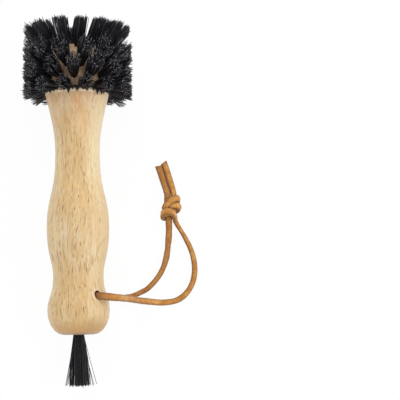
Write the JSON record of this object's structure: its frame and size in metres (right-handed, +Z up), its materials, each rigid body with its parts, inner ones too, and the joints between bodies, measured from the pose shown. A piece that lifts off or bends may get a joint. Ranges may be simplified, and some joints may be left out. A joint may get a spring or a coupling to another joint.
{
  "type": "socket brush",
  "caption": "Turned wooden hand brush with a fanned drum of black bristle tufts for scrubbing inside a round socket, a small tuft in the butt and a knotted suede hanging lace.",
  "frame": {"origin": "centre of the bottom of the brush without its lace, on the table the brush lies on", "axes": "+Z up from the table, +Y along the handle towards the bristle head, +X to the side the lace lies on"},
  "size_m": [0.0839, 0.1732, 0.0556],
  "materials": {
    "beech": "oiled, fine vertical grain with short dark flecks",
    "bristle": "black, slightly glossy filaments",
    "suede": "tan, napped"
  },
  "bodies": {
    "root": {"handle": "beech", "lower_tufts": "bristle", "upper_tufts": "bristle", "end_face_tufts": "bristle", "butt_tuft": "bristle", "lace_through_handle": "suede", "lace_front_run": "suede", "lace_back_run": "suede", "lace_knot": "suede", "lace_left_tail": "suede", "lace_right_tail": "suede"}
  },
  "joints": []
}
